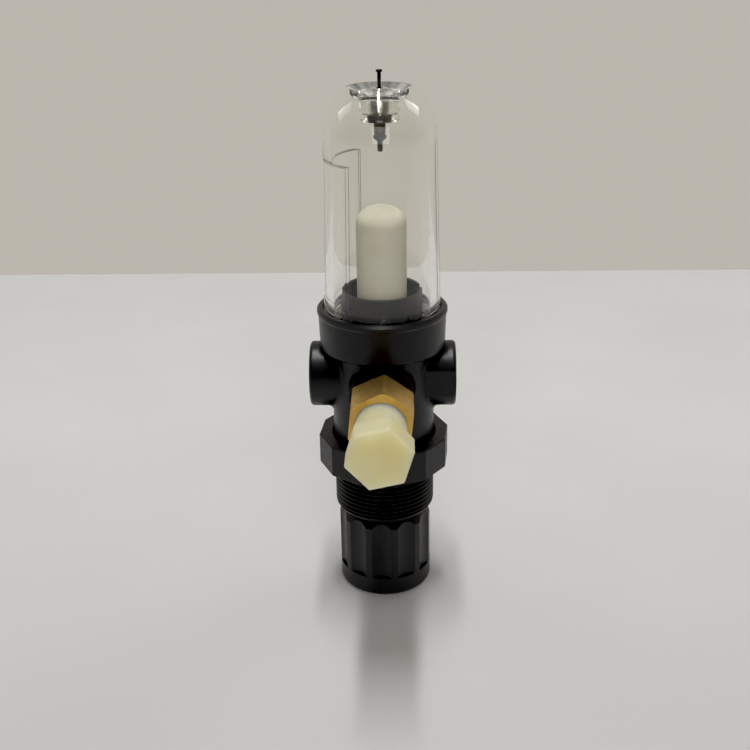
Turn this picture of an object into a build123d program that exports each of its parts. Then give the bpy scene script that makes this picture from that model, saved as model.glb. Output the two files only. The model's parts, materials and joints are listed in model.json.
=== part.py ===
"""Miniature compressed-air filter and regulator, standing upside down on its adjusting knob.

Frame: Z up along the unit's axis, origin in the middle of the knob's closed face.
The front gauge port points along -Y, the inlet is on -X and the outlet on +X.
Every length is in millimetres.
"""
import os
from math import cos, radians, sin, sqrt, tan

from build123d import *

# ---- Driving dimensions --------------------------------------------------------------------------

# Heights of the faces where one piece ends and the next begins
KNOB_TOP = 25.4
BONNET_END = 26.3
NUT_BOTTOM = 41.4
NUT_TOP = 51.05
FLANGE_BOTTOM = 51.1
BODY_BOTTOM = 52.2
PORT_Z = 69.5
SKIRT_BOTTOM = 78.6
SKIRT_TOP = 91.0
DEFLECTOR_TOP = 96.5
INNER_DOME_CENTRE = 138.7
DOME_CENTRE = 139.8
PIN_TOP = 157.1

# Radii of the outside
KNOB_R = 14.0
COLUMN_R = 15.0
SKIRT_R = 18.4
LIP_R = 18.9
NUT_CORNER_R = 19.6
BOWL_BASE_R = 16.85
DOME_R = 15.6
RIM_R = 8.8

# Knob grip
FLUTES = 11
FLUTE_R = 8.5
FLUTE_DEPTH = 0.85
FLUTE_BOTTOM = 6.4
FLUTE_TURN = 12.7 - 360 / FLUTES / 2

# Panel thread, 1 3/16 inch with 18 turns to the inch
INCH = 25.4
PANEL_R = 15.0
PANEL_ROOT_R = 14.15
PANEL_PITCH = INCH / 18
PANEL_TURNS = 15
PANEL_START = 28.2

# Ports: 1/4 inch pipe thread
PORT_BORE_R = 5.75
PORT_THREAD_R = 6.58
GAUGE_BORE_R = 6.65
PORT_PITCH = INCH / 18
PORT_FACE = 21.35
PORT_BOSS_R = 9.6
PORT_DEPTH = 12.15
MOUTH_CHAMFER = 0.9
GAUGE_FACE = 18.6
GAUGE_BOSS_R = 9.3
GAUGE_DEPTH = 7.0
BOSS_ROUND = 1.0
CAST_ROUND = 2.0
OUTLET_FLAT = 0.91 * PORT_BOSS_R
FLAT_START = sqrt(COLUMN_R**2 - OUTLET_FLAT**2)
FRONT_AXIS = Axis((0, 0, PORT_Z), (0, -1, 0))

# Regulator chambers
OUTLET_R = 5.0
OUTLET_Z = (62.4, 76.0)
SENSE_R = 11.0
SENSE_TOP = 60.4
SPIGOT_BORE_R = 13.35
DIAPHRAGM_Z = (56.0, 57.2)
STEM_R = 1.3
STEM_HOLE_R = 1.5
SEAT_R = 3.0
SEAT_LIP_R = 3.6
SEAT_TOP = 79.2
VALVE_BORE_R = 7.0
TURRET_R = 13.2
TURRET_STEP = 84.0
TURRET_BOSS_R = 9.4
TURRET_TOP = 88.0
NECK_BORE_R = 17.2
NECK_FLOOR = 80.0

# Adjusting screw and its nut
SCREW_R = 4.0
SCREW_TOP = 46.0
JOURNAL_R = 3.4
HEX_AF = 6.0
HEX_FIT = 0.3
END_WALL = (16.0, 18.4)
NECK_R = 10.8
SPRING_NUT_Z = (28.0, 33.0)
CAVITY_R = 12.3
RIB_W = 2.0
RIB_R = 11.0

# Springs: coil radius, wire radius, first and last height, turns
MAIN_SPRING = (7.6, 1.0, 33.0, 54.4, 5.0)
VALVE_SPRING = (2.35, 0.25, 81.8, 86.6, 4.0)
DRAIN_SPRING = (0.8, 0.12, 145.6, 150.4, 7.0)

# Bowl
BOWL_FLOOR = 81.8
BOWL_NECK_R = 16.4
BOWL_THREAD_R = 17.0
BOWL_PITCH = 1.5
BOWL_TURNS = 4
BOWL_THREAD_START = 83.0
BOWL_SHOULDER = 90.2
WALL_BASE = 2.55
WALL_DOME = 2.3
WELL_R = 5.45
WELL_BOTTOM = 144.0
WELL_WEB = 145.9
WELL_BORE_R = 4.3
RECESS_FLOOR = 151.3
RECESS_R = 6.4
RIM_WIDTH = 0.6
DRAIN_HOLE_R = 2.6
PANEL_FROM = 35
PANEL_ARC = 117
PANEL_Z = (93.5, 133.5)
PANEL_DEPTH = 0.3

# Front fitting, measured outwards from the axis
ADAPTER_HEX = (23.9, 36.4)
ADAPTER_AF = 17.0
ADAPTER_TURN = 24.3
PLUG_HEX = (47.8, 56.0)
PLUG_AF = 16.0
PLUG_TURN = 13.0
PLUG_COLLAR_R = (7.0, 7.4)


# ---- Helpers -------------------------------------------------------------------------------------

def half_section(*points):
    """A closed outline of (radius, height) points, to be turned about Z."""
    with BuildSketch(Plane.XZ) as outline:
        with BuildLine():
            Polyline(*points, close=True)
        make_face()
    return outline.sketch


def thread_crests(root, crest, start, pitch, turns):
    """The points of a row of thread crests, from the lowest root to the highest."""
    points = []
    for turn in range(turns):
        z = start + turn * pitch
        points += [(root, z), (crest, z + 0.42 * pitch), (crest, z + 0.58 * pitch)]
    return points + [(root, start + turns * pitch)]


def front_plane(distance):
    """A plane facing -Y at this distance out from the axis, its middle at the port height."""
    return Plane(origin=(0, -distance, PORT_Z), x_dir=(1, 0, 0), z_dir=(0, -1, 0))


def front_section(*points):
    """A closed outline of (radius, distance out) points, to be turned about the front port's axis."""
    with BuildSketch(Plane(origin=(0, 0, PORT_Z), x_dir=(1, 0, 0), z_dir=(0, 0, -1))) as outline:
        with BuildLine():
            Polyline(*points, close=True)
        make_face()
    return outline.sketch


def corner_radius(across_flats):
    """The corner radius of a hexagon with this size across its flats."""
    return across_flats / 2 / cos(radians(30))


def coil(radius, wire, low, high, turns):
    """A helical spring that just fits between two heights."""
    gap = 0.05
    height = high - low - 2 * (wire + gap)
    with BuildPart() as spring:
        with BuildLine() as line:
            Helix(pitch=height / turns, height=height, radius=radius, center=(0, 0, low + wire + gap))
        with BuildSketch(Plane(origin=line.line @ 0, z_dir=line.line % 0)):
            Circle(wire)
        sweep(path=line.line, is_frenet=True)
    return spring.part


def o_ring(radius, section, z):
    """A rubber ring of this middle radius and section radius."""
    with BuildSketch(Plane.XZ) as outline:
        with Locations((radius, z)):
            Circle(section)
    with BuildPart() as ring:
        revolve(outline.sketch, axis=Axis.Z)
    return ring.part


def bowl_wall_r(z):
    """The outer radius of the bowl's drafted wall at a height."""
    share = (z - BOWL_SHOULDER) / (DOME_CENTRE - BOWL_SHOULDER)
    return BOWL_BASE_R + share * (DOME_R - BOWL_BASE_R)


def save(part, name):
    """Labels a finished sub-part and writes it to its own file."""
    part.label = name
    export_step(part, f"parts/{name}.step")


os.makedirs("parts", exist_ok=True)

# ---- Adjusting knob ------------------------------------------------------------------------------

CAVITY_WALL_R = 11.9
HUB_R = 5.6
HUB_TOP = 14.3
END_THICK = 3.0
FOOT_ROUND = 1.8
SNAP_RIB_Z = 22.2
SNAP_RIB = 0.5

with BuildPart() as knob:
    revolve(
        half_section(
            (0, 0), (KNOB_R, 0), (KNOB_R, KNOB_TOP - 1.8), (KNOB_R - 1.0, KNOB_TOP),
            (CAVITY_WALL_R, KNOB_TOP), (CAVITY_WALL_R, SNAP_RIB_Z + 0.8),
            (CAVITY_WALL_R - SNAP_RIB, SNAP_RIB_Z + 0.4), (CAVITY_WALL_R - SNAP_RIB, SNAP_RIB_Z),
            (CAVITY_WALL_R, SNAP_RIB_Z - 0.4), (CAVITY_WALL_R, END_THICK), (HUB_R, END_THICK),
            (HUB_R, HUB_TOP), (0, HUB_TOP),
        ),
        axis=Axis.Z,
    )
    fillet(knob.edges().group_by(Axis.Z)[0], FOOT_ROUND)
    with BuildSketch(Plane.XY.offset(FLUTE_BOTTOM)):
        with PolarLocations(KNOB_R - FLUTE_DEPTH + FLUTE_R, FLUTES, start_angle=FLUTE_TURN - 90):
            Circle(FLUTE_R)
    extrude(amount=KNOB_TOP, mode=Mode.SUBTRACT)
    with BuildSketch(Plane.XY.offset(END_THICK + 0.6)):
        RegularPolygon(corner_radius(HEX_AF + HEX_FIT), 6)
    extrude(amount=HUB_TOP, mode=Mode.SUBTRACT)
save(knob.part, "knob")

# ---- Adjusting screw, its clip and thrust washer -------------------------------------------------

HEX_Z = (4.5, 14.6)
CLIP_Z = (15.1, 15.9)
CLIP_GROOVE_R = 2.9
SCREW_FLANGE = (19.0, 21.0)
SCREW_FLANGE_R = 6.2
CLIP_R = 5.2
CLIP_THICK = 0.7
CLIP_MOUTH = 4.2
WASHER_R = (3.65, 6.6)
WASHER_THICK = 0.5

with BuildPart() as adjusting_screw:
    revolve(
        half_section(
            (0, HEX_Z[1]), (JOURNAL_R, HEX_Z[1]), (JOURNAL_R, CLIP_Z[0]), (CLIP_GROOVE_R, CLIP_Z[0]),
            (CLIP_GROOVE_R, CLIP_Z[1]), (JOURNAL_R, CLIP_Z[1]), (JOURNAL_R, SCREW_FLANGE[0]),
            (SCREW_FLANGE_R, SCREW_FLANGE[0]), (SCREW_FLANGE_R, SCREW_FLANGE[1]),
            (SCREW_R, SCREW_FLANGE[1]), (SCREW_R, SCREW_TOP - 0.8), (SCREW_R - 0.8, SCREW_TOP),
            (0, SCREW_TOP),
        ),
        axis=Axis.Z,
    )
    with BuildSketch(Plane.XY.offset(HEX_Z[0])):
        RegularPolygon(corner_radius(HEX_AF), 6)
    extrude(amount=HEX_Z[1] - HEX_Z[0])
save(adjusting_screw.part, "adjusting_screw")

with BuildPart() as screw_clip:
    with BuildSketch(Plane.XY.offset(CLIP_Z[0] + 0.05)):
        Circle(CLIP_R)
        Circle(CLIP_GROOVE_R + 0.05, mode=Mode.SUBTRACT)
        with Locations((0, 4)):
            Rectangle(CLIP_MOUTH, 8, mode=Mode.SUBTRACT)
    extrude(amount=CLIP_THICK)
save(screw_clip.part, "screw_clip")

with BuildPart() as thrust_washer:
    with BuildSketch(Plane.XY.offset(END_WALL[1] + 0.05)):
        Circle(WASHER_R[1])
        Circle(WASHER_R[0], mode=Mode.SUBTRACT)
    extrude(amount=WASHER_THICK)
save(thrust_washer.part, "thrust_washer")

# ---- Bonnet: threaded for a panel, with a plain neck inside the knob -----------------------------

FLANGE_R = 14.9
SPIGOT_R = 13.2
SPIGOT_TOP = 55.6
BEAD_Z = 20.6
VENT_R = 0.9
VENT_FROM_AXIS = 7.6
RIB_TOP = 44.0
RIB_LENGTH = CAVITY_R + 0.3 - RIB_R
JOURNAL_BORE_R = 3.6
POCKET_R = 9.3
CAVITY_FLOOR = 27.6

bonnet_outline = [
    (JOURNAL_BORE_R, END_WALL[0]), (NECK_R, END_WALL[0]), (NECK_R, BEAD_Z - 0.4), (NECK_R + 0.35, BEAD_Z),
    (NECK_R + 0.35, BEAD_Z + 0.4), (NECK_R, BEAD_Z + 0.8), (NECK_R, BONNET_END),
    (PANEL_R - 1.3, BONNET_END), (PANEL_ROOT_R + 0.75, PANEL_START - 0.2),
    (PANEL_ROOT_R + 0.4, PANEL_START),
]
bonnet_outline += thread_crests(PANEL_ROOT_R, PANEL_R, PANEL_START, PANEL_PITCH, PANEL_TURNS)
bonnet_outline += [
    (PANEL_ROOT_R, FLANGE_BOTTOM), (FLANGE_R, FLANGE_BOTTOM), (FLANGE_R, BODY_BOTTOM),
    (SPIGOT_R, BODY_BOTTOM), (SPIGOT_R, SPIGOT_TOP), (CAVITY_R, SPIGOT_TOP), (CAVITY_R, CAVITY_FLOOR),
    (POCKET_R, CAVITY_FLOOR), (POCKET_R, END_WALL[1]), (JOURNAL_BORE_R, END_WALL[1]),
]

with BuildPart() as bonnet:
    revolve(half_section(*bonnet_outline), axis=Axis.Z)
    with BuildSketch(Plane.XY.offset(CAVITY_FLOOR)):
        with PolarLocations(RIB_R + RIB_LENGTH / 2, 2):
            Rectangle(RIB_LENGTH, RIB_W)
    extrude(amount=RIB_TOP - CAVITY_FLOOR)
    with BuildSketch(Plane.XY.offset(END_WALL[0])):
        with PolarLocations(VENT_FROM_AXIS, 2, start_angle=90):
            Circle(VENT_R)
    extrude(amount=END_WALL[1] - END_WALL[0], mode=Mode.SUBTRACT)
save(bonnet.part, "bonnet")

# ---- Panel nut: twelve sides ---------------------------------------------------------------------

NUT_TURN = -20.6 - 90
NUT_BORE_R = PANEL_R + 0.08
NUT_CHAMFER = 0.35
NUT_MOUTH = 1.6

with BuildPart() as panel_nut:
    with BuildSketch(Plane.XY.offset(NUT_BOTTOM)):
        RegularPolygon(NUT_CORNER_R, 12, rotation=NUT_TURN)
    extrude(amount=NUT_TOP - NUT_BOTTOM)
    chamfer(panel_nut.edges().filter_by(Axis.Z, reverse=True), NUT_CHAMFER)
    revolve(
        half_section(
            (0, NUT_BOTTOM - 1), (NUT_BORE_R + NUT_MOUTH, NUT_BOTTOM - 1), (NUT_BORE_R, NUT_BOTTOM + 0.6),
            (NUT_BORE_R, NUT_TOP - 0.6), (NUT_BORE_R + NUT_MOUTH, NUT_TOP + 1), (0, NUT_TOP + 1),
        ),
        axis=Axis.Z,
        mode=Mode.SUBTRACT,
    )
save(panel_nut.part, "panel_nut")

# ---- Spring nut, regulating spring and the diaphragm stack ---------------------------------------

SPRING_NUT_R = CAVITY_R - 0.3
SPRING_NUT_BORE_R = SCREW_R + 0.1
SPIGOT_IN_SPRING_R = 6.3
SPIGOT_IN_SPRING = 1.4

with BuildPart() as spring_nut:
    revolve(
        half_section(
            (SPRING_NUT_BORE_R, SPRING_NUT_Z[0]), (SPRING_NUT_R, SPRING_NUT_Z[0]),
            (SPRING_NUT_R, SPRING_NUT_Z[1]), (SPIGOT_IN_SPRING_R, SPRING_NUT_Z[1]),
            (SPIGOT_IN_SPRING_R, SPRING_NUT_Z[1] + SPIGOT_IN_SPRING),
            (SPRING_NUT_BORE_R, SPRING_NUT_Z[1] + SPIGOT_IN_SPRING),
        ),
        axis=Axis.Z,
    )
    with BuildSketch(Plane.XY.offset(SPRING_NUT_Z[0])):
        with PolarLocations(CAVITY_R, 2):
            Rectangle(2 * (CAVITY_R - RIB_R + 0.3), RIB_W + 0.4)
    extrude(amount=SPRING_NUT_Z[1] - SPRING_NUT_Z[0], mode=Mode.SUBTRACT)
save(spring_nut.part, "spring_nut")

save(coil(*MAIN_SPRING), "regulating_spring")

PLATE_R = 9.3
RIVET_R = 2.0
PLATE_SPIGOT_Z = MAIN_SPRING[3] - SPIGOT_IN_SPRING

with BuildPart() as diaphragm_plate:
    revolve(
        half_section(
            (RIVET_R + 0.05, PLATE_SPIGOT_Z), (SPIGOT_IN_SPRING_R, PLATE_SPIGOT_Z),
            (SPIGOT_IN_SPRING_R, MAIN_SPRING[3]), (PLATE_R, MAIN_SPRING[3]),
            (PLATE_R, DIAPHRAGM_Z[0]), (RIVET_R + 0.05, DIAPHRAGM_Z[0]),
        ),
        axis=Axis.Z,
    )
save(diaphragm_plate.part, "diaphragm_plate")

ROLL_R = (9.7, 12.1)
ROLL_DROP = 0.9
DIAPHRAGM_R = 13.1

with BuildPart() as diaphragm:
    revolve(
        half_section(
            (RIVET_R + 0.05, DIAPHRAGM_Z[0]), (ROLL_R[0], DIAPHRAGM_Z[0]),
            (ROLL_R[0] + 0.5, DIAPHRAGM_Z[0] - ROLL_DROP), (ROLL_R[1] - 0.5, DIAPHRAGM_Z[0] - ROLL_DROP),
            (ROLL_R[1], DIAPHRAGM_Z[0]), (DIAPHRAGM_R, DIAPHRAGM_Z[0]), (DIAPHRAGM_R, DIAPHRAGM_Z[1]),
            (ROLL_R[1] - 0.9, DIAPHRAGM_Z[1]), (ROLL_R[1] - 1.2, DIAPHRAGM_Z[1] - ROLL_DROP),
            (ROLL_R[0] + 1.2, DIAPHRAGM_Z[1] - ROLL_DROP), (ROLL_R[0] + 0.9, DIAPHRAGM_Z[1]),
            (RIVET_R + 0.05, DIAPHRAGM_Z[1]),
        ),
        axis=Axis.Z,
    )
save(diaphragm.part, "diaphragm")

RELIEF_HOLE_R = 0.8
RELIEF_TOP = 58.45
RIVET_HEAD_R = 3.2
RIVET_HEAD_Z = PLATE_SPIGOT_Z - 0.8
RELIEF_SEAT_R = 4.6

with BuildPart() as relief_seat:
    revolve(
        half_section(
            (RELIEF_HOLE_R, RIVET_HEAD_Z), (RIVET_HEAD_R, RIVET_HEAD_Z), (RIVET_HEAD_R, PLATE_SPIGOT_Z),
            (RIVET_R, PLATE_SPIGOT_Z), (RIVET_R, DIAPHRAGM_Z[1]), (RELIEF_SEAT_R, DIAPHRAGM_Z[1]),
            (RELIEF_SEAT_R, RELIEF_TOP - 0.4), (RELIEF_SEAT_R - 0.4, RELIEF_TOP), (RELIEF_HOLE_R, RELIEF_TOP),
        ),
        axis=Axis.Z,
    )
save(relief_seat.part, "relief_seat")

with BuildPart() as slip_ring:
    with BuildSketch(Plane.XY.offset(SPIGOT_TOP)):
        Circle(DIAPHRAGM_R)
        Circle(CAVITY_R, mode=Mode.SUBTRACT)
    extrude(amount=DIAPHRAGM_Z[0] - SPIGOT_TOP)
save(slip_ring.part, "slip_ring")

# ---- Body casting --------------------------------------------------------------------------------

SKIRT_WALL_TOP = 89.4
SENSE_HOLE_X = 10.0
OUTLET_HOLE_R = 3.0
GAUGE_HOLE_R = 2.5
INLET_SLOT_R = 8.7
INLET_SLOT_W = 1.8
INLET_SLOT_HALF = 50
SENSE_HOLE_R = 1.0
MARK_Z = 86.8
MARK_R = 3.3
MARK_WIDTH = 0.3
MARK_RELIEF = 0.07


def skirt_outline(extra=0.0):
    """The skirt's half section, made larger all round by extra."""
    return half_section(
        (0, SKIRT_BOTTOM), (SKIRT_R - 0.9, SKIRT_BOTTOM), (SKIRT_R - 0.15 + extra, SKIRT_BOTTOM + 0.75),
        (SKIRT_R + 0.15 + extra, SKIRT_WALL_TOP - 0.5), (LIP_R, SKIRT_WALL_TOP + 0.1),
        (LIP_R, SKIRT_TOP - 0.7), (LIP_R - 0.7, SKIRT_TOP), (0, SKIRT_TOP),
    )


def ring_mark():
    """A faint ring that stands a little proud of the skirt's front."""
    with BuildPart() as mark:
        with BuildSketch(Plane.XZ.offset(SKIRT_R - 1.5)):
            with Locations((0, MARK_Z)):
                Circle(MARK_R)
                Circle(MARK_R - MARK_WIDTH, mode=Mode.SUBTRACT)
        extrude(amount=3)
        revolve(skirt_outline(MARK_RELIEF), axis=Axis.Z, mode=Mode.INTERSECT)
    return mark.part


cast_ring = ring_mark()

with BuildPart() as body:
    # Column with the four port bosses
    with BuildSketch(Plane.XY.offset(BODY_BOTTOM)):
        Circle(COLUMN_R)
    extrude(amount=SKIRT_BOTTOM + 1 - BODY_BOTTOM)
    with BuildSketch(Plane.YZ.offset(-PORT_FACE)):
        with Locations((0, PORT_Z)):
            Circle(PORT_BOSS_R)
    extrude(amount=2 * PORT_FACE)
    with BuildSketch(Plane.XZ.offset(-GAUGE_FACE)):
        with Locations((0, PORT_Z)):
            Circle(GAUGE_BOSS_R)
    extrude(amount=2 * GAUGE_FACE)
    boss_roots = body.edges().filter_by(GeomType.BSPLINE)
    fillet(boss_roots, CAST_ROUND)
    boss_rims = body.edges().filter_by(GeomType.CIRCLE).group_by(Axis.X)
    fillet([*boss_rims[0], *boss_rims[-1]], BOSS_ROUND)
    with BuildSketch(Plane.YZ.offset(FLAT_START)):
        with Locations((-OUTLET_FLAT - PORT_BOSS_R / 2, PORT_Z)):
            Rectangle(PORT_BOSS_R, 3 * PORT_BOSS_R)
    extrude(amount=PORT_BOSS_R, mode=Mode.SUBTRACT)

    # Skirt that takes the bowl
    revolve(skirt_outline(), axis=Axis.Z)
    add(cast_ring)

    # Bowl socket, leaving the turret in its middle
    revolve(
        half_section(
            (TURRET_R, NECK_FLOOR), (NECK_BORE_R, NECK_FLOOR), (NECK_BORE_R, SKIRT_TOP),
            (0, SKIRT_TOP), (0, TURRET_TOP), (TURRET_BOSS_R, TURRET_TOP), (TURRET_BOSS_R, TURRET_STEP),
            (TURRET_R, TURRET_STEP),
        ),
        axis=Axis.Z,
        mode=Mode.SUBTRACT,
    )
    # Valve chamber with its raised seat, outlet chamber, stem hole, sensing chamber, bonnet socket
    revolve(
        half_section(
            (0, TURRET_TOP), (VALVE_BORE_R, TURRET_TOP), (VALVE_BORE_R, SEAT_TOP - 0.6),
            (SEAT_LIP_R, SEAT_TOP - 0.6), (SEAT_LIP_R, SEAT_TOP), (SEAT_R, SEAT_TOP),
            (SEAT_R, OUTLET_Z[1]), (OUTLET_R, OUTLET_Z[1]), (OUTLET_R, OUTLET_Z[0]),
            (STEM_HOLE_R, OUTLET_Z[0]), (STEM_HOLE_R, SENSE_TOP), (SENSE_R, SENSE_TOP),
            (SENSE_R, DIAPHRAGM_Z[1]), (SPIGOT_BORE_R, DIAPHRAGM_Z[1]), (SPIGOT_BORE_R, BODY_BOTTOM),
            (0, BODY_BOTTOM),
        ),
        axis=Axis.Z,
        mode=Mode.SUBTRACT,
    )
    # Inlet on -X: its bore, and the curved slot that leads up into the bowl
    with BuildSketch(Plane.YZ.offset(-PORT_FACE)):
        with Locations((0, PORT_Z)):
            Circle(PORT_BORE_R)
    extrude(amount=PORT_DEPTH, mode=Mode.SUBTRACT)
    with BuildSketch(Plane.XY.offset(PORT_Z + 3)):
        SlotArc(
            CenterArc((0, 0), INLET_SLOT_R, 180 - INLET_SLOT_HALF, 2 * INLET_SLOT_HALF),
            INLET_SLOT_W,
        )
    extrude(amount=TURRET_TOP - PORT_Z, mode=Mode.SUBTRACT)
    # Outlet on +X: its bore, the way in from the outlet chamber, and the sensing hole
    with BuildSketch(Plane.YZ.offset(PORT_FACE - PORT_DEPTH)):
        with Locations((0, PORT_Z)):
            Circle(PORT_BORE_R)
    extrude(amount=PORT_DEPTH, mode=Mode.SUBTRACT)
    with BuildSketch(Plane.YZ):
        with Locations((0, PORT_Z)):
            Circle(OUTLET_HOLE_R)
    extrude(amount=PORT_FACE - 1, mode=Mode.SUBTRACT)
    with BuildSketch(Plane.XY.offset(SENSE_TOP - 1)):
        with Locations((SENSE_HOLE_X, 0)):
            Circle(SENSE_HOLE_R)
    extrude(amount=6, mode=Mode.SUBTRACT)
    # Gauge ports, front and back
    with BuildSketch(Plane.XZ.offset(-GAUGE_FACE)):
        with Locations((0, PORT_Z)):
            Circle(GAUGE_BORE_R)
    extrude(amount=GAUGE_DEPTH, mode=Mode.SUBTRACT)
    with BuildSketch(Plane.XZ.offset(GAUGE_FACE - GAUGE_DEPTH)):
        with Locations((0, PORT_Z)):
            Circle(GAUGE_BORE_R)
    extrude(amount=GAUGE_DEPTH, mode=Mode.SUBTRACT)
    with BuildSketch(Plane.XZ.offset(1 - GAUGE_FACE)):
        with Locations((0, PORT_Z)):
            Circle(GAUGE_HOLE_R)
    extrude(amount=2 * GAUGE_FACE - 2, mode=Mode.SUBTRACT)
    # Mouths of the inlet and outlet
    port_mouths = (
        body.edges()
        .filter_by(GeomType.CIRCLE)
        .filter_by(lambda e: abs(e.radius - PORT_BORE_R) < 0.01 and abs(abs(e.center().X) - PORT_FACE) < 0.01)
    )
    chamfer(port_mouths, MOUTH_CHAMFER)
save(body.part, "body")

# ---- Supply valve --------------------------------------------------------------------------------

DISC_Z = (SEAT_TOP, SEAT_TOP + 1.1)
POPPET_TOP = VALVE_SPRING[2]
GUIDE_TOP = 88.3
POPPET_R = 4.6
DISC_R = 4.4

with BuildPart() as valve_stem:
    revolve(
        half_section(
            (0, RELIEF_TOP + 0.05), (STEM_R - 0.3, RELIEF_TOP + 0.05), (STEM_R, RELIEF_TOP + 0.6),
            (STEM_R, DISC_Z[1]), (POPPET_R, DISC_Z[1]), (POPPET_R, POPPET_TOP), (STEM_R, POPPET_TOP),
            (STEM_R, GUIDE_TOP - 0.3), (STEM_R - 0.3, GUIDE_TOP), (0, GUIDE_TOP),
        ),
        axis=Axis.Z,
    )
save(valve_stem.part, "valve_stem")

with BuildPart() as valve_disc:
    with BuildSketch(Plane.XY.offset(DISC_Z[0])):
        Circle(DISC_R)
        Circle(STEM_R + 0.02, mode=Mode.SUBTRACT)
    extrude(amount=DISC_Z[1] - DISC_Z[0])
save(valve_disc.part, "valve_disc")

save(coil(*VALVE_SPRING), "valve_spring")

# ---- Valve retainer, which also carries the element ----------------------------------------------

RETAINER_R = VALVE_BORE_R - 0.1
RETAINER_Z = (83.6, TURRET_TOP)
RETAINER_FLANGE_TOP = 89.2
GROOVE_Z = (85.1, 86.5)
GROOVE_R = 5.85
AIR_HOLES = 6
AIR_HOLE_R = 0.8
AIR_HOLES_AT = 4.55
SPRING_POCKET_R = 3.2
GUIDE_BORE_R = STEM_R + 0.15
GUIDE_ROOF = (89.5, 90.4)
RETAINER_FLANGE_R = 7.2

with BuildPart() as valve_retainer:
    revolve(
        half_section(
            (SPRING_POCKET_R, RETAINER_Z[0]), (RETAINER_R, RETAINER_Z[0]), (RETAINER_R, GROOVE_Z[0]),
            (GROOVE_R, GROOVE_Z[0]), (GROOVE_R, GROOVE_Z[1]), (RETAINER_R, GROOVE_Z[1]),
            (RETAINER_R, RETAINER_Z[1]), (RETAINER_FLANGE_R, RETAINER_Z[1]),
            (RETAINER_FLANGE_R, RETAINER_FLANGE_TOP), (2.8, RETAINER_FLANGE_TOP), (2.4, GUIDE_ROOF[1]),
            (0, GUIDE_ROOF[1]), (0, GUIDE_ROOF[0]), (GUIDE_BORE_R, GUIDE_ROOF[0]),
            (GUIDE_BORE_R, VALVE_SPRING[3]), (SPRING_POCKET_R, VALVE_SPRING[3]),
        ),
        axis=Axis.Z,
    )
    with BuildSketch(Plane.XY.offset(RETAINER_Z[0])):
        with PolarLocations(AIR_HOLES_AT, AIR_HOLES):
            Circle(AIR_HOLE_R)
    extrude(amount=RETAINER_FLANGE_TOP - RETAINER_Z[0], mode=Mode.SUBTRACT)
save(valve_retainer.part, "valve_retainer")

RETAINER_RING = 0.52
save(o_ring(GROOVE_R + RETAINER_RING + 0.02, RETAINER_RING, sum(GROOVE_Z) / 2), "retainer_o_ring")

# ---- Filter element and deflector ----------------------------------------------------------------

ELEMENT_R = 7.15
ELEMENT_BORE_R = 5.0
ELEMENT_RIM_TOP = 90.6
ELEMENT_SHOULDER = 115.4
ELEMENT_RIM_R = 8.2
ELEMENT_WALL = ELEMENT_R - ELEMENT_BORE_R
KNUCKLE_R = 4.0
KNUCKLE_SWEEP = 50


def domed_end(radius, shoulder, knuckle):
    """A tight arc and a wide one, tangent to each other, that close a tube over the axis."""
    reach = radius - knuckle
    crown = reach / cos(radians(KNUCKLE_SWEEP)) + knuckle
    crown_z = shoulder - reach * tan(radians(KNUCKLE_SWEEP))
    tight = CenterArc((reach, shoulder), knuckle, 0, KNUCKLE_SWEEP, mode=Mode.PRIVATE)
    wide = CenterArc((0, crown_z), crown, KNUCKLE_SWEEP, 90 - KNUCKLE_SWEEP, mode=Mode.PRIVATE)
    return tight, wide


with BuildPart() as filter_element:
    with BuildSketch(Plane.XZ):
        with BuildLine():
            outer = domed_end(ELEMENT_R, ELEMENT_SHOULDER, KNUCKLE_R)
            inner = domed_end(ELEMENT_BORE_R, ELEMENT_SHOULDER, KNUCKLE_R - ELEMENT_WALL)
            add([*outer, *inner])
            Line(outer[1] @ 1, inner[1] @ 1)
            Polyline(
                inner[0] @ 0, (ELEMENT_BORE_R, RETAINER_FLANGE_TOP), (ELEMENT_RIM_R, RETAINER_FLANGE_TOP),
                (ELEMENT_RIM_R, ELEMENT_RIM_TOP), (ELEMENT_R, ELEMENT_RIM_TOP), outer[0] @ 0,
            )
        make_face()
    revolve(axis=Axis.Z)
save(filter_element.part, "filter_element")

DEFLECTOR_R = 11.6
DEFLECTOR_BORE_R = 10.8
DEFLECTOR_FOOT_R = 9.5
HUB_RING = (7.3, 8.5)
HUB_RING_TOP = 92.0
SPOKES = 4
LOUVRES = 10
LOUVRE_TILT = 35
LOUVRE_Z = 89.4
LOUVRE = (3.2, 1.0)
SPOKE_W = 1.6
NOTCH_DEPTH = 1.6
NOTCH_TURN = 8

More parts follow.
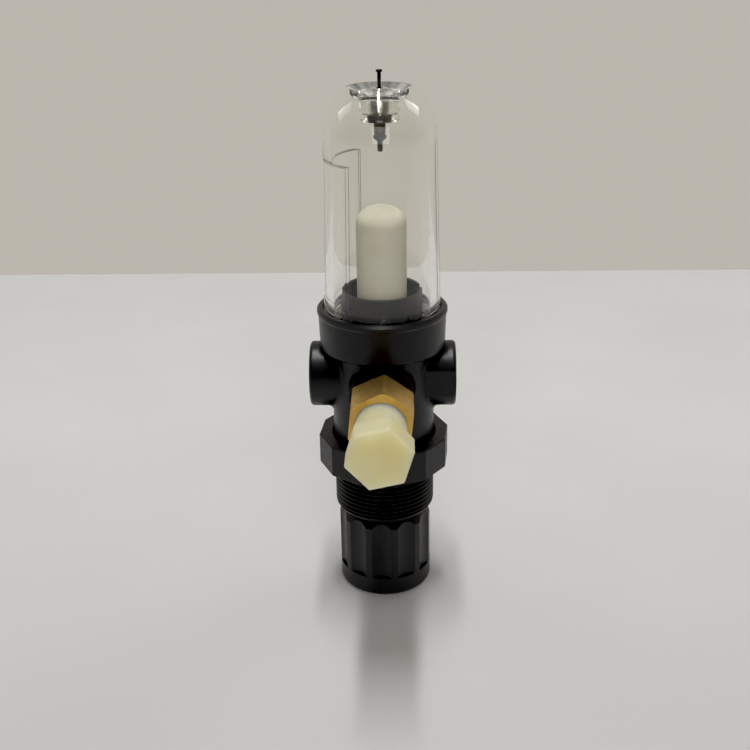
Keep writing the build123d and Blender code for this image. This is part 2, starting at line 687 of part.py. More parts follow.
with BuildPart() as deflector:
    revolve(
        half_section(
            (DEFLECTOR_FOOT_R, TURRET_STEP + 0.1), (DEFLECTOR_R, TURRET_STEP + 0.1),
            (DEFLECTOR_R, DEFLECTOR_TOP - 0.25), (DEFLECTOR_R - 0.25, DEFLECTOR_TOP),
            (DEFLECTOR_BORE_R + 0.25, DEFLECTOR_TOP), (DEFLECTOR_BORE_R, DEFLECTOR_TOP - 0.25),
            (DEFLECTOR_BORE_R, TURRET_TOP), (DEFLECTOR_FOOT_R, TURRET_TOP),
        ),
        axis=Axis.Z,
    )
    with BuildSketch(Plane.XY.offset(ELEMENT_RIM_TOP)):
        Circle(HUB_RING[1])
        Circle(HUB_RING[0], mode=Mode.SUBTRACT)
        with PolarLocations((HUB_RING[1] + DEFLECTOR_BORE_R) / 2, SPOKES, start_angle=45):
            Rectangle(DEFLECTOR_BORE_R - HUB_RING[1] + 0.6, SPOKE_W)
    extrude(amount=HUB_RING_TOP - ELEMENT_RIM_TOP)
    for louvre in range(LOUVRES):
        around = radians(360 / LOUVRES * (louvre + 0.5))
        out_x = cos(around)
        out_y = sin(around)
        facing = Plane(
            origin=(DEFLECTOR_BORE_R * out_x, DEFLECTOR_BORE_R * out_y, LOUVRE_Z),
            x_dir=(-out_y, out_x, 0),
            z_dir=(out_x, out_y, 0),
        )
        with BuildSketch(facing):
            SlotOverall(*LOUVRE, rotation=90 - LOUVRE_TILT)
        extrude(amount=1, both=True, mode=Mode.SUBTRACT)
    with BuildSketch(Plane.XY.offset(DEFLECTOR_TOP - NOTCH_DEPTH)):
        with PolarLocations(DEFLECTOR_R, 2, start_angle=NOTCH_TURN):
            Rectangle(3, 3)
    extrude(amount=2, mode=Mode.SUBTRACT)
save(deflector.part, "deflector")

# ---- Bowl ----------------------------------------------------------------------------------------

INNER_R = DOME_R - WALL_DOME
FLARE_R = WELL_R + 1.2
FLARE_TOP = INNER_DOME_CENTRE + sqrt(INNER_R**2 - FLARE_R**2)
RIM_Z = DOME_CENTRE + sqrt(DOME_R**2 - RIM_R**2)
neck_points = thread_crests(BOWL_NECK_R, BOWL_THREAD_R, BOWL_THREAD_START, BOWL_PITCH, BOWL_TURNS)

with BuildPart() as bowl:
    with BuildSketch(Plane.XZ):
        with BuildLine():
            wall = Polyline(
                (BOWL_BASE_R - WALL_BASE, BOWL_FLOOR), (BOWL_NECK_R - 0.5, BOWL_FLOOR),
                (BOWL_NECK_R, BOWL_FLOOR + 0.5), *neck_points, (BOWL_NECK_R, BOWL_SHOULDER - 0.4),
                (BOWL_BASE_R, BOWL_SHOULDER), (DOME_R, DOME_CENTRE),
            )
            dome = ThreePointArc(
                wall @ 1,
                (DOME_R * cos(radians(28)), DOME_CENTRE + DOME_R * sin(radians(28))),
                (RIM_R, RIM_Z),
            )
            recess = Polyline(
                dome @ 1, (RIM_R - RIM_WIDTH, RIM_Z), (RECESS_R + 0.6, RECESS_FLOOR + 0.4),
                (RECESS_R, RECESS_FLOOR), (DRAIN_HOLE_R, RECESS_FLOOR), (DRAIN_HOLE_R, WELL_WEB),
                (WELL_BORE_R, WELL_WEB), (WELL_BORE_R, WELL_BOTTOM), (WELL_R - 0.5, WELL_BOTTOM),
                (WELL_R, WELL_BOTTOM + 0.6), (WELL_R, FLARE_TOP - 1.4),
            )
            flare = ThreePointArc(recess @ 1, (WELL_R + 0.35, FLARE_TOP - 0.5), (FLARE_R, FLARE_TOP))
            inner_dome = ThreePointArc(
                flare @ 1,
                (INNER_R * cos(radians(32)), INNER_DOME_CENTRE + INNER_R * sin(radians(32))),
                (INNER_R, INNER_DOME_CENTRE),
            )
            Line(inner_dome @ 1, wall @ 0)
        make_face()
    revolve(axis=Axis.Z)
    # Shallow flat-edged panel let into the left side
    panel_outline = half_section(
        (bowl_wall_r(PANEL_Z[0]) - PANEL_DEPTH, PANEL_Z[0]), (BOWL_BASE_R + 1, PANEL_Z[0]),
        (BOWL_BASE_R + 1, PANEL_Z[1]), (bowl_wall_r(PANEL_Z[1]) - PANEL_DEPTH, PANEL_Z[1]),
    )
    revolve(
        panel_outline.rotate(Axis.Z, -90 - PANEL_FROM - PANEL_ARC),
        axis=Axis.Z,
        revolution_arc=PANEL_ARC,
        mode=Mode.SUBTRACT,
    )
save(bowl.part, "bowl")

BOWL_RING = 0.85
BOWL_RING_R = 15.2
save(o_ring(BOWL_RING_R, BOWL_RING, NECK_FLOOR + BOWL_RING + 0.05), "bowl_o_ring")

# ---- Drain valve ---------------------------------------------------------------------------------

BARREL_R = 2.5
BARREL_TOP = 152.3
BARREL_BORE_R = 1.05
DRAIN_THREAD_R = 1.7
DRAIN_ROOT_R = 1.45
DRAIN_BOTTOM = 140.7
DRAIN_BORE_R = 0.7
PIN_R = 0.5
GASKET_THICK = 0.5
GASKET_R = 3.35
COLLAR_R = BARREL_R + 1.0
DRAIN_NUT_R = 3.25
DRAIN_NUT_THICK = 1.6
DRAIN_NUT_TURN = 10
DRAIN_PITCH = 0.5
DRAIN_TURNS = 10

with BuildPart() as drain_body:
    revolve(
        half_section(
            (DRAIN_BORE_R, DRAIN_BOTTOM), (DRAIN_ROOT_R - 0.05, DRAIN_BOTTOM),
            *thread_crests(DRAIN_ROOT_R, DRAIN_THREAD_R, DRAIN_BOTTOM + 0.05, DRAIN_PITCH, DRAIN_TURNS),
            (DRAIN_ROOT_R, WELL_WEB + 0.3), (BARREL_R, WELL_WEB + 0.5), (BARREL_R, RECESS_FLOOR),
            (COLLAR_R, RECESS_FLOOR), (COLLAR_R, RECESS_FLOOR + 0.5), (BARREL_R, RECESS_FLOOR + 0.7),
            (BARREL_R, BARREL_TOP - 0.2), (BARREL_R - 0.2, BARREL_TOP), (BARREL_BORE_R, BARREL_TOP),
            (BARREL_BORE_R, DRAIN_SPRING[2]), (DRAIN_BORE_R, DRAIN_SPRING[2]),
        ),
        axis=Axis.Z,
    )
save(drain_body.part, "drain_body")

with BuildPart() as drain_gasket:
    with BuildSketch(Plane.XY.offset(WELL_WEB - GASKET_THICK)):
        Circle(GASKET_R)
        Circle(DRAIN_THREAD_R + 0.05, mode=Mode.SUBTRACT)
    extrude(amount=GASKET_THICK)
save(drain_gasket.part, "drain_gasket")

with BuildPart() as drain_nut:
    with BuildSketch(Plane.XY.offset(WELL_WEB - GASKET_THICK - DRAIN_NUT_THICK)):
        RegularPolygon(DRAIN_NUT_R, 6, rotation=DRAIN_NUT_TURN)
        Circle(DRAIN_THREAD_R + 0.05, mode=Mode.SUBTRACT)
    extrude(amount=DRAIN_NUT_THICK)
save(drain_nut.part, "drain_nut")

PIN_COLLAR = (DRAIN_SPRING[3], DRAIN_SPRING[3] + 0.6)
SEAL_Z = (139.25, DRAIN_BOTTOM - 0.05)
TAIL_BOTTOM = 135.4
TAIL_R = 0.75
SEAL_BACKING_R = 1.2
PIN_COLLAR_R = 0.95
PIN_HEAD_R = 0.88
SEAL_R = 1.85

with BuildPart() as drain_pin:
    revolve(
        half_section(
            (0, TAIL_BOTTOM), (TAIL_R - 0.15, TAIL_BOTTOM), (TAIL_R, TAIL_BOTTOM + 0.2),
            (TAIL_R, SEAL_Z[0] - 0.3), (SEAL_BACKING_R, SEAL_Z[0] - 0.3), (SEAL_BACKING_R, SEAL_Z[0]),
            (PIN_R, SEAL_Z[0]), (PIN_R, PIN_COLLAR[0]), (PIN_COLLAR_R, PIN_COLLAR[0]),
            (PIN_COLLAR_R, PIN_COLLAR[1]), (PIN_R, PIN_COLLAR[1]), (PIN_R, PIN_TOP - 0.8),
            (PIN_HEAD_R, PIN_TOP - 0.5), (PIN_HEAD_R, PIN_TOP - 0.1), (PIN_HEAD_R - 0.18, PIN_TOP),
            (0, PIN_TOP),
        ),
        axis=Axis.Z,
    )
save(drain_pin.part, "drain_pin")

with BuildPart() as drain_seal:
    revolve(
        half_section(
            (PIN_R + 0.02, SEAL_Z[0]), (SEAL_R - 0.35, SEAL_Z[0]), (SEAL_R, SEAL_Z[0] + 0.35),
            (SEAL_R, SEAL_Z[1] - 0.5), (SEAL_R - 0.55, SEAL_Z[1]), (PIN_R + 0.02, SEAL_Z[1]),
        ),
        axis=Axis.Z,
    )
save(drain_seal.part, "drain_seal")

save(coil(*DRAIN_SPRING), "drain_spring")

# ---- Front fitting: brass adapter with a plastic plug --------------------------------------------

ADAPTER_END = 12.2
ADAPTER_BORE_R = 3.2
ADAPTER_THREAD_ROOT = PORT_THREAD_R - 0.85
ADAPTER_EDGE = 0.9
FEMALE_DEPTH = 10.9
PLUG_END = 27.0
PLUG_THREAD_R = PORT_BORE_R - 0.05
PLUG_THREAD_ROOT = PLUG_THREAD_R - 0.8
PLUG_EDGE = 0.8

ADAPTER_HEX_R = corner_radius(ADAPTER_AF)
SHANK_TURNS = int((ADAPTER_HEX[0] - ADAPTER_END - 0.8) / PORT_PITCH)

with BuildPart() as gauge_adapter:
    with BuildSketch(front_plane(ADAPTER_HEX[0])):
        RegularPolygon(ADAPTER_HEX_R, 6, rotation=ADAPTER_TURN)
    extrude(amount=ADAPTER_HEX[1] - ADAPTER_HEX[0])
    fillet(gauge_adapter.edges().filter_by(Axis.Y), ADAPTER_EDGE)
    revolve(
        front_section(
            (0, ADAPTER_HEX[0]), (ADAPTER_HEX_R - 0.35, ADAPTER_HEX[0]),
            (ADAPTER_HEX_R + 0.2, ADAPTER_HEX[0] + 0.35), (ADAPTER_HEX_R + 0.2, ADAPTER_HEX[1] - 0.35),
            (ADAPTER_HEX_R - 0.45, ADAPTER_HEX[1]), (0, ADAPTER_HEX[1]),
        ),
        axis=FRONT_AXIS,
        mode=Mode.INTERSECT,
    )
    revolve(
        front_section(
            (0, ADAPTER_END), (ADAPTER_THREAD_ROOT, ADAPTER_END),
            *thread_crests(ADAPTER_THREAD_ROOT, PORT_THREAD_R, ADAPTER_END + 0.3, PORT_PITCH, SHANK_TURNS),
            (ADAPTER_THREAD_ROOT, ADAPTER_HEX[0] + 0.5), (0, ADAPTER_HEX[0] + 0.5),
        ),
        axis=FRONT_AXIS,
    )
    revolve(
        front_section(
            (0, ADAPTER_END - 1), (ADAPTER_BORE_R, ADAPTER_END - 1),
            (ADAPTER_BORE_R, ADAPTER_HEX[1] - FEMALE_DEPTH), (PORT_BORE_R, ADAPTER_HEX[1] - FEMALE_DEPTH),
            (PORT_BORE_R, ADAPTER_HEX[1] - 0.9), (PORT_BORE_R + 1.4, ADAPTER_HEX[1] + 0.5),
            (0, ADAPTER_HEX[1] + 0.5),
        ),
        axis=FRONT_AXIS,
        mode=Mode.SUBTRACT,
    )
save(gauge_adapter.part, "gauge_adapter")

PLUG_TURNS = int((ADAPTER_HEX[1] - 1.2 - PLUG_END) / PORT_PITCH)

with BuildPart() as adapter_plug:
    with BuildSketch(front_plane(PLUG_HEX[0])):
        RegularPolygon(corner_radius(PLUG_AF), 6, rotation=PLUG_TURN)
    extrude(amount=PLUG_HEX[1] - PLUG_HEX[0])
    fillet(adapter_plug.edges(), PLUG_EDGE)
    revolve(
        front_section(
            (0, PLUG_END), (PLUG_THREAD_ROOT, PLUG_END),
            *thread_crests(PLUG_THREAD_ROOT, PLUG_THREAD_R, PLUG_END + 0.3, PORT_PITCH, PLUG_TURNS),
            (PLUG_THREAD_ROOT, ADAPTER_HEX[1] + 0.05), (PLUG_COLLAR_R[0] - 0.3, ADAPTER_HEX[1] + 0.05),
            (PLUG_COLLAR_R[0], ADAPTER_HEX[1] + 0.35), (PLUG_COLLAR_R[1], PLUG_HEX[0]),
            (PLUG_COLLAR_R[1], PLUG_HEX[0] + 1), (0, PLUG_HEX[0] + 1),
        ),
        axis=FRONT_AXIS,
    )
save(adapter_plug.part, "adapter_plug")

# ---- Rear gauge port's own plug ------------------------------------------------------------------

REAR_PLUG_Y = (11.9, 18.2)
SOCKET_DEPTH = 4.0
REAR_PLUG_CHAMFER = 0.6

with BuildPart() as gauge_port_plug:
    with BuildSketch(front_plane(-REAR_PLUG_Y[1])):
        Circle(PORT_THREAD_R)
    extrude(amount=REAR_PLUG_Y[1] - REAR_PLUG_Y[0])
    chamfer(gauge_port_plug.edges().filter_by(GeomType.CIRCLE), REAR_PLUG_CHAMFER)
    with BuildSketch(front_plane(-REAR_PLUG_Y[1])):
        RegularPolygon(corner_radius(HEX_AF), 6)
    extrude(amount=SOCKET_DEPTH, mode=Mode.SUBTRACT)
save(gauge_port_plug.part, "gauge_port_plug")
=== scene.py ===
"""Looks for the miniature filter regulator: materials, light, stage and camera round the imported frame.

Lengths are in metres unless a name says otherwise, in the frame of the CAD model: Z up the unit's axis,
the front fitting towards -Y, the inlet on -X and the outlet on +X.
"""
import json
from math import cos, radians, sin

import bpy
from mathutils import Matrix, Vector


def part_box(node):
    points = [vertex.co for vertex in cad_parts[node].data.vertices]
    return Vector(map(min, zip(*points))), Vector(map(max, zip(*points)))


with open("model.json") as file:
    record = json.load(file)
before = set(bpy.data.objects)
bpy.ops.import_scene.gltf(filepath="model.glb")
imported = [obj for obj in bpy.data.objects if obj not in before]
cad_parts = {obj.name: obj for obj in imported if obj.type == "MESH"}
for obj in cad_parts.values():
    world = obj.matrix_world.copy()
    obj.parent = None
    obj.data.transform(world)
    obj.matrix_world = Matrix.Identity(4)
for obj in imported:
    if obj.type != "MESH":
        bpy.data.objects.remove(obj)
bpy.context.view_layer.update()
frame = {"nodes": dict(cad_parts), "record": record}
MM = 0.001

# ---- Camera and stage -------------------------------------------------------------------------

CAMERA_BACK = 302.7 * MM
CAMERA_HEIGHT = 199.0 * MM
CAMERA_PITCH = radians(23.28)
CAMERA_YAW = radians(-0.46)
CAMERA_ROLL = radians(-0.98)
OBJECT_TURN = radians(1.3)
LENS_MM = 53.26
SENSOR_MM = 36.0

TABLE_EDGE = 0.31
TABLE_REACH = 2.5

# ---- Node helpers -------------------------------------------------------------------------------


class Shader:
    """A material with one Principled shader, and short ways to feed it."""

    def __init__(self, name, colour, roughness, **sockets):
        self.material = bpy.data.materials.new(name)
        self.material.use_nodes = True
        self.tree = self.material.node_tree
        self.principled = self.tree.nodes["Principled BSDF"]
        self.output = self.tree.nodes["Material Output"]
        self.set("Base Color", (*colour, 1))
        self.set("Roughness", roughness)
        for socket, value in sockets.items():
            self.set(socket.replace("_", " "), value)

    def set(self, socket, value):
        self.principled.inputs[socket].default_value = value

    def node(self, kind, inputs=(), **settings):
        """A new node with its settings, its inputs set or linked by name or number."""
        made = self.tree.nodes.new("ShaderNode" + kind)
        for key, value in settings.items():
            setattr(made, key, value)
        for key, value in dict(inputs).items():
            if isinstance(value, bpy.types.NodeSocket):
                self.tree.links.new(value, made.inputs[key])
            else:
                made.inputs[key].default_value = value
        return made

    def place(self, stretch=(1, 1, 1)):
        """Object coordinates, stretched."""
        coordinates = self.node("TexCoord").outputs["Object"]
        return self.node("Mapping", {"Vector": coordinates, "Scale": stretch}).outputs[0]

    def noise(self, grain, stretch=(1, 1, 1), detail=3.0, rough=0.5):
        """Noise whose blotches are about this size in metres."""
        settings = {"Vector": self.place(stretch), "Scale": 1 / grain, "Detail": detail, "Roughness": rough}
        return self.node("TexNoise", settings).outputs["Fac"]

    def math(self, operation, first, second=0.0):
        """The result of a sum on one or two numbers or sockets."""
        return self.node("Math", {0: first, 1: second}, operation=operation).outputs[0]

    def between(self, factor, low, high, start=0.3, end=0.7):
        """A number that runs from low to high as factor runs from start to end."""
        inputs = {"Value": factor, "From Min": start, "From Max": end, "To Min": low, "To Max": high}
        return self.node("MapRange", inputs).outputs[0]

    def mix(self, factor, first, second):
        """A colour between two."""
        mixer = self.node("Mix", data_type="RGBA")
        for socket, value in ((0, factor), (6, first), (7, second)):
            if isinstance(value, bpy.types.NodeSocket):
                self.tree.links.new(value, mixer.inputs[socket])
            else:
                mixer.inputs[socket].default_value = value if socket == 0 else (*value, 1)
        return mixer.outputs[2]

    def feed(self, socket, source):
        self.tree.links.new(source, self.principled.inputs[socket])

    def bump(self, height, depth):
        """Relief of this depth in metres, on top of any that is there."""
        made = self.node("Bump", {"Height": height, "Strength": 1.0, "Distance": depth})
        normal = self.principled.inputs["Normal"]
        if normal.is_linked:
            self.tree.links.new(normal.links[0].from_socket, made.inputs["Normal"])
        self.tree.links.new(made.outputs[0], normal)


# ---- Materials -----------------------------------------------------------------------------------

ALONG_Y = (1, 0.02, 1)
ROUND_Z = (0.05, 0.05, 1)
BLACK_SPECULAR = 0.45

# Bowl: how it bends and mirrors light, the plain panel on its left (where it starts and how far it goes
# round the axis, in degrees), and how matte the recess is where it is least and most scuffed
BOWL_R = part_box("bowl")[1][0]
BOWL_IOR = 1.55
BOWL_SPECULAR = 0.12
PANEL_FROM = 35.0
PANEL_ARC = 117.0
PANEL_HEIGHTS = (93.5 * MM, 133.5 * MM)
PANEL_LINE = 0.16 * MM
RECESS_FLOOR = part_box("drain_body")[1][2] - 1.0 * MM
RECESS_RIM = 8.6 * MM
SCUFF_RANGE = (0.06, 0.60)


def black_finish(name, dark, light, roughness, grain, depth):
    """A satin black: blotchy in tone and gloss, with a fine skin texture."""
    s = Shader(name, dark, roughness)
    s.set("Specular IOR Level", BLACK_SPECULAR)
    blotch = s.noise(6 * MM)
    s.feed("Base Color", s.mix(s.between(blotch, 0, 1), dark, light))
    s.feed("Roughness", s.between(s.noise(1.6 * MM, detail=6), roughness - 0.06, roughness + 0.07))
    s.bump(s.noise(grain, detail=4), depth)
    return s.material


def turned_metal(name, colour, tarnish, roughness, stretch, grain=0.12 * MM, depth=0.004 * MM):
    """Machined metal with tool marks drawn out along one direction."""
    s = Shader(name, colour, roughness, Metallic=1.0)
    marks = s.noise(grain, stretch, detail=5, rough=0.65)
    stain = s.noise(2.2 * MM, detail=5)
    s.feed("Base Color", s.mix(s.between(stain, 0, 1, 0.38, 0.68), colour, tarnish))
    s.feed("Roughness", s.between(marks, roughness - 0.07, roughness + 0.12))
    s.bump(marks, depth)
    return s.material


def drain_metal():
    """Nickel plate on the drain's barrel, and dark oxide on its thread below the gasket."""
    s = Shader("nickel_brass", (0.74, 0.73, 0.70), 0.14, Metallic=1.0)
    height = s.node("SeparateXYZ", {"Vector": s.place()}).outputs["Z"]
    gasket_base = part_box("drain_gasket")[0][2]
    on_thread = s.between(height, 1, 0, gasket_base - 0.2 * MM, gasket_base)
    marks = s.noise(0.12 * MM, ROUND_Z, detail=5, rough=0.65)
    stain = s.between(s.noise(0.5 * MM, detail=4), 0, 1, 0.42, 0.60)
    tarnish = s.between(s.noise(2.2 * MM, detail=5), 0, 1, 0.38, 0.68)
    plate = s.mix(tarnish, (0.80, 0.79, 0.76), (0.60, 0.59, 0.55))
    oxide = s.mix(stain, (0.10, 0.07, 0.05), (0.34, 0.27, 0.21))
    s.feed("Base Color", s.mix(on_thread, plate, oxide))
    s.feed("Roughness", s.between(marks, 0.10, 0.30))
    s.bump(marks, 0.004 * MM)
    return s.material


def panel_border(s, from_axis, height, below):
    """The plain panel's border: dark dust held by the step round it, on top of the shader below."""
    low, high = PANEL_HEIGHTS
    half_arc = radians(PANEL_ARC / 2)
    middle = radians(PANEL_FROM + PANEL_ARC / 2 - 180)
    soft_angle = 0.01
    soft_height = 0.1 * MM

    def near(value, goal, half):
        """One close to the goal, and nothing further than half from it."""
        away = s.math("ABSOLUTE", s.math("SUBTRACT", value, goal))
        return s.between(away, 1, 0, 0.6 * half, half)

    aside = s.math("ABSOLUTE", s.math("SUBTRACT", from_axis, middle))
    under_top = s.between(height, 1, 0, high, high + soft_height)
    within = s.between(aside, 1, 0, half_arc, half_arc + soft_angle)
    sides = s.math("MULTIPLY", near(aside, half_arc, PANEL_LINE / BOWL_R), under_top)
    top = s.math("MULTIPLY", near(height, high, PANEL_LINE), within)
    above_foot = s.between(height, 0, 1, low - soft_height, low)
    line = s.math("MULTIPLY", s.math("MAXIMUM", sides, top), above_foot)
    share = s.math("MULTIPLY", line, s.between(s.noise(3 * MM, detail=4), 0.45, 0.85))
    dust = s.node("BsdfDiffuse", {"Color": (0.05, 0.048, 0.043, 1)})
    return s.node("MixShader", {0: share, 1: below.outputs[0], 2: dust.outputs[0]})


def recess_scuffs(s, from_axis, parts):
    """How scuffed the bowl is: nothing, but for streaks that run out from the drain in its recess."""
    flat_place = s.node("CombineXYZ", {"X": parts["X"], "Y": parts["Y"]}).outputs[0]
    radius = s.node("VectorMath", {0: flat_place}, operation="LENGTH").outputs["Value"]
    over_floor = s.between(parts["Z"], 0, 1, RECESS_FLOOR - 0.3 * MM, RECESS_FLOOR)
    inside_rim = s.between(radius, 1, 0, RECESS_RIM - 0.5 * MM, RECESS_RIM)
    in_recess = s.math("MULTIPLY", over_floor, inside_rim)
    around = s.node("CombineXYZ", {"X": from_axis}).outputs[0]
    streaks = s.node("TexNoise", {"Vector": around, "Scale": 1.6, "Detail": 2.0}).outputs["Fac"]
    return s.math("MULTIPLY", in_recess, s.between(streaks, *SCUFF_RANGE, 0.35, 0.62))


def clear_polycarbonate():
    """Clear plastic that lets lamplight through, with hairline scratches, scuffs and a dusty border."""
    s = Shader("clear_polycarbonate", (0.985, 0.985, 0.955), 0.012)
    s.set("Transmission Weight", 1.0)
    s.set("IOR", BOWL_IOR)
    s.set("Specular IOR Level", BOWL_SPECULAR)
    scratches = s.noise(0.25 * MM, (1, 1, 0.06), detail=4)
    s.bump(s.between(scratches, 0, 1, 0.66, 0.72), 0.0006 * MM)
    s.bump(s.noise(9 * MM, detail=1), 0.02 * MM)
    parts = s.node("SeparateXYZ", {"Vector": s.place()}).outputs
    from_axis = s.math("ARCTAN2", parts["X"], parts["Y"])
    frost = s.node("BsdfDiffuse", {"Color": (0.80, 0.79, 0.74, 1)})
    scuffs = recess_scuffs(s, from_axis, parts)
    scuffed = s.node("MixShader", {0: scuffs, 1: s.principled.outputs[0], 2: frost.outputs[0]})
    dusty = panel_border(s, from_axis, parts["Z"], scuffed)
    lamp_rays = s.node("LightPath").outputs["Is Shadow Ray"]
    clear = s.node("BsdfTransparent", {"Color": (0.90, 0.90, 0.87, 1)})
    mixer = s.node("MixShader", {0: lamp_rays, 1: dusty.outputs[0], 2: clear.outputs[0]})
    s.tree.links.new(mixer.outputs[0], s.output.inputs["Surface"])
    return s.material


def sintered_plastic():
    """Porous off-white plastic: fused grains with small dark pores."""
    s = Shader("sintered_plastic", (0.54, 0.51, 0.43), 0.85)
    s.set("Subsurface Weight", 0.25)
    s.set("Subsurface Scale", 1.2 * MM)
    s.set("Subsurface Radius", (1.0, 0.9, 0.7))
    grains = s.node("TexVoronoi", {"Vector": s.place(), "Scale": 1 / (0.22 * MM)}).outputs["Distance"]
    soil = s.noise(5 * MM, detail=5)
    clean = s.mix(s.between(soil, 0, 1), (0.54, 0.51, 0.43), (0.49, 0.46, 0.375))
    s.feed("Base Color", s.mix(s.between(grains, 0, 0.35, 0.5, 0.9), clean, (0.44, 0.41, 0.335)))
    s.bump(grains, 0.02 * MM)
    return s.material


def natural_nylon():
    """Translucent cream plastic: light sinks in and softens every edge."""
    s = Shader("natural_nylon", (0.74, 0.66, 0.34), 0.5)
    s.set("Subsurface Weight", 1.0)
    s.set("Subsurface Scale", 24.0 * MM)
    s.set("Subsurface Radius", (1.0, 0.85, 0.40))
    s.set("Specular IOR Level", 0.3)
    cloud = s.noise(7 * MM, detail=2)
    s.feed("Base Color", s.mix(s.between(cloud, 0, 1), (0.75, 0.675, 0.425), (0.72, 0.635, 0.37)))
    s.bump(s.noise(1.4 * MM, detail=3), 0.006 * MM)
    return s.material


def moulded(name, colour, roughness):
    """Plain moulded plastic or rubber."""
    s = Shader(name, colour, roughness)
    tone = tuple(0.8 * part for part in colour)
    s.feed("Base Color", s.mix(s.between(s.noise(3 * MM), 0, 1), colour, tone))
    s.bump(s.noise(0.4 * MM, detail=4), 0.008 * MM)
    return s.material


finishes = {
    "black_casting": black_finish("black_casting", (0.0045, 0.0045, 0.0058), (0.0075, 0.0070, 0.0090), 0.34,
                                  0.5 * MM, 0.010 * MM),
    "black_plastic": black_finish("black_plastic", (0.0045, 0.0045, 0.0055), (0.0080, 0.0080, 0.0090), 0.38,
                                  0.35 * MM, 0.012 * MM),
    "black_nylon": black_finish("black_nylon", (0.0060, 0.0055, 0.0072), (0.0105, 0.0098, 0.0120), 0.42,
                                0.6 * MM, 0.012 * MM),
    "clear_polycarbonate": clear_polycarbonate(),
    "sintered_plastic": sintered_plastic(),
    "brass": turned_metal("brass", (0.88, 0.60, 0.22), (0.76, 0.50, 0.17), 0.34, ALONG_Y, 0.14 * MM,
                          0.0006 * MM),
    "natural_nylon": natural_nylon(),
    "grey_plastic": moulded("grey_plastic", (0.30, 0.31, 0.32), 0.5),
    "plated_steel": turned_metal("plated_steel", (0.60, 0.60, 0.58), (0.45, 0.44, 0.42), 0.30, ROUND_Z),
    "spring_steel": turned_metal("spring_steel", (0.48, 0.48, 0.49), (0.34, 0.33, 0.32), 0.28, (1, 1, 1)),
    "black_rubber": moulded("black_rubber", (0.010, 0.009, 0.009), 0.62),
    "nickel_brass": drain_metal(),
    "dark_steel": turned_metal("dark_steel", (0.045, 0.036, 0.03), (0.02, 0.016, 0.013), 0.40, ROUND_Z),
}

slot_of = {part["node"]: part["material_slot"] for part in frame["record"]["subparts"]}
for name, piece in frame["nodes"].items():
    piece.data.materials.clear()
    piece.data.materials.append(finishes[slot_of[name]])

# ---- Stage -----------------------------------------------------------------------------------------

# Room colours, where the walls and the ceiling start and end on the direction's Y and Z, and how much of
# the room's light matte surfaces get
ROOM_WALL = (0.50, 0.475, 0.425)
ROOM_DIM = (0.060, 0.058, 0.056)
ROOM_CEILING = (0.30, 0.29, 0.275)
WALLS_FROM_TO = (-0.45, 0.62)
CEILING_FROM_TO = (0.45, 0.95)
ROOM_FILL = 0.45

# Table: from where to where along Y painted shade makes it greyer, round the object and further in front of
# it
TABLE_SHADE_NEAR = (-0.14, 0.12)
TABLE_SHADE_FRONT = (-0.40, -0.085)


def add_table():
    """The pale table top: softly mottled, with painted shade that makes it greyer towards the viewer."""
    s = Shader("table_top", (0.72, 0.71, 0.70), 0.55)
    mottle = s.between(s.noise(60 * MM, detail=6), 0, 1)
    mottled = s.mix(mottle, (0.845, 0.833, 0.822), (0.885, 0.874, 0.863))
    towards_back = s.node("SeparateXYZ", {"Vector": s.place()}).outputs["Y"]
    # Painted shade: the table turns greyer towards the viewer, a little round the object and more further in
    # front
    shaded_near = s.mix(s.between(towards_back, 0, 1, *TABLE_SHADE_NEAR), (0.70, 0.684, 0.668), mottled)
    shaded_front = s.mix(s.between(towards_back, 0, 1, *TABLE_SHADE_FRONT), (0.50, 0.49, 0.48), shaded_near)
    s.feed("Base Color", shaded_front)
    mesh = bpy.data.meshes.new("table_top")
    corners = [(-TABLE_REACH, -TABLE_REACH, 0), (TABLE_REACH, -TABLE_REACH, 0),
               (TABLE_REACH, TABLE_EDGE, 0), (-TABLE_REACH, TABLE_EDGE, 0)]
    mesh.from_pydata(corners, [], [(0, 1, 2, 3)])
    mesh.materials.append(s.material)
    table = bpy.data.objects.new("table_top", mesh)
    bpy.context.scene.collection.objects.link(table)


def room_light():
    """A soft room: pale walls behind the object, a greyer ceiling, and a dim side behind the camera."""
    world = bpy.data.worlds.new("room")
    world.use_nodes = True
    bpy.context.scene.world = world
    tree = world.node_tree

    def ramp(value, start, end, low, high):
        """A colour that runs between two as value runs from start to end; low may be a socket."""
        share = tree.nodes.new("ShaderNodeMapRange")
        share.interpolation_type = "SMOOTHSTEP"
        tree.links.new(value, share.inputs["Value"])
        share.inputs["From Min"].default_value = start
        share.inputs["From Max"].default_value = end
        mixer = tree.nodes.new("ShaderNodeMix")
        mixer.data_type = "RGBA"
        tree.links.new(share.outputs[0], mixer.inputs[0])
        if isinstance(low, bpy.types.NodeSocket):
            tree.links.new(low, mixer.inputs[6])
        else:
            mixer.inputs[6].default_value = (*low, 1)
        mixer.inputs[7].default_value = (*high, 1)
        return mixer.outputs[2]

    direction = tree.nodes.new("ShaderNodeTexCoord").outputs["Generated"]
    parts = tree.nodes.new("ShaderNodeSeparateXYZ")
    tree.links.new(direction, parts.inputs[0])
    walls = ramp(parts.outputs["Y"], *WALLS_FROM_TO, ROOM_DIM, ROOM_WALL)
    ceiling = ramp(parts.outputs["Z"], *CEILING_FROM_TO, walls, ROOM_CEILING)
    background = tree.nodes["Background"]
    tree.links.new(ceiling, background.inputs["Color"])
    share = tree.nodes.new("ShaderNodeMapRange")
    tree.links.new(tree.nodes.new("ShaderNodeLightPath").outputs["Is Diffuse Ray"], share.inputs["Value"])
    share.inputs["To Min"].default_value = 1.0
    share.inputs["To Max"].default_value = ROOM_FILL
    tree.links.new(share.outputs[0], background.inputs["Strength"])


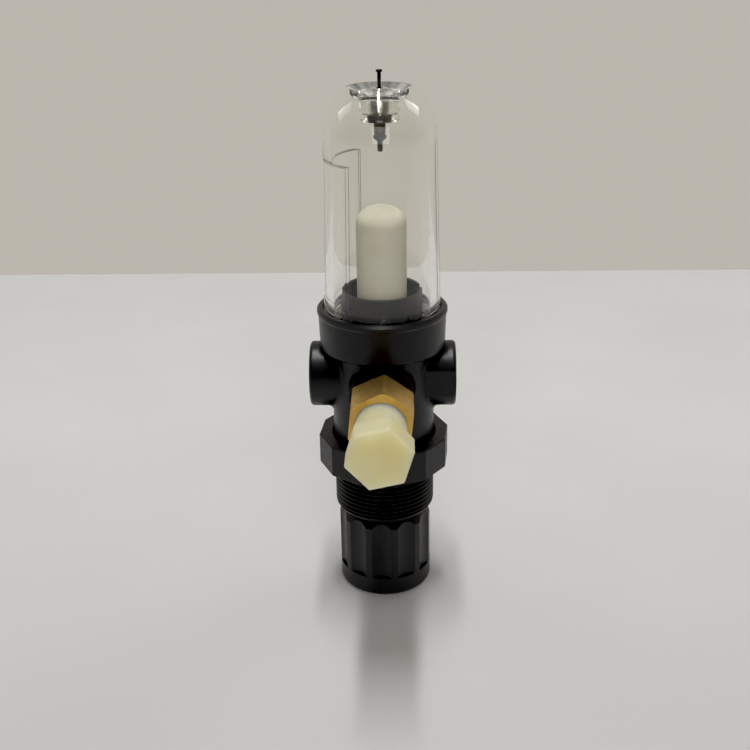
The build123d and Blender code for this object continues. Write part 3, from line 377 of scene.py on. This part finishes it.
def soft_light(name, place, aim, size, power, mirrored=True):
    """An area light, size wide and deep, at a place and facing aim; mirrored says whether gloss shows it."""
    data = bpy.data.lights.new(name, "AREA")
    data.shape = "RECTANGLE"
    data.size, data.size_y = size
    data.energy = power
    light = bpy.data.objects.new(name, data)
    light.visible_glossy = mirrored
    light.location = place
    light.rotation_euler = (Vector(aim) - Vector(place)).to_track_quat("-Z", "Y").to_euler()
    bpy.context.scene.collection.objects.link(light)


MIDDLE = Vector((0, 0, 0.08))
add_table()
room_light()
soft_light("ceiling_strip", (-0.03, 0.03, 1.50), (-0.03, 0.03, 0), (0.08, 0.90), 10.6)
soft_light("ceiling_right", (1.1, 0.90, 1.20), MIDDLE, (0.6, 0.6), 1.6, mirrored=False)
soft_light("ceiling_left", (-1.2, 0.80, 1.10), MIDDLE, (0.6, 0.6), 1.0, mirrored=False)
soft_light("room_front", (0.10, -1.60, 0.80), MIDDLE, (1.2, 1.2), 11.0, mirrored=False)


def add_camera():
    """The camera: a pinhole, back from the object and above it, turned by yaw, pitch and roll."""
    forward = Vector((sin(CAMERA_YAW) * cos(CAMERA_PITCH), cos(CAMERA_YAW) * cos(CAMERA_PITCH),
                      -sin(CAMERA_PITCH)))
    across = Vector((cos(CAMERA_YAW), -sin(CAMERA_YAW), 0))
    up = across.cross(forward)
    rolled_across = cos(CAMERA_ROLL) * across + sin(CAMERA_ROLL) * up
    rolled_up = cos(CAMERA_ROLL) * up - sin(CAMERA_ROLL) * across
    axes = Matrix((rolled_across, rolled_up, -forward)).transposed().to_4x4()
    stand = Matrix.Translation((0, -CAMERA_BACK, CAMERA_HEIGHT))
    data = bpy.data.cameras.new("camera")
    data.lens = LENS_MM
    data.sensor_width = SENSOR_MM
    data.clip_start = 0.01
    camera = bpy.data.objects.new("camera", data)
    camera.matrix_world = Matrix.Rotation(OBJECT_TURN, 4, "Z") @ stand @ axes
    bpy.context.scene.collection.objects.link(camera)
    bpy.context.scene.camera = camera


BOUNCES = 32
BLACK_LEVEL = 0.008


def set_view():
    """Plain colours with a small black level, and bounces enough for the bowl's four walls."""
    scene = bpy.context.scene
    scene.view_settings.view_transform = "Standard"
    scene.view_settings.use_curve_mapping = True
    scene.view_settings.curve_mapping.black_level = (BLACK_LEVEL, BLACK_LEVEL, BLACK_LEVEL)
    scene.view_settings.curve_mapping.update()
    scene.cycles.max_bounces = BOUNCES
    scene.cycles.transmission_bounces = BOUNCES
    scene.cycles.glossy_bounces = BOUNCES


add_camera()
set_view()
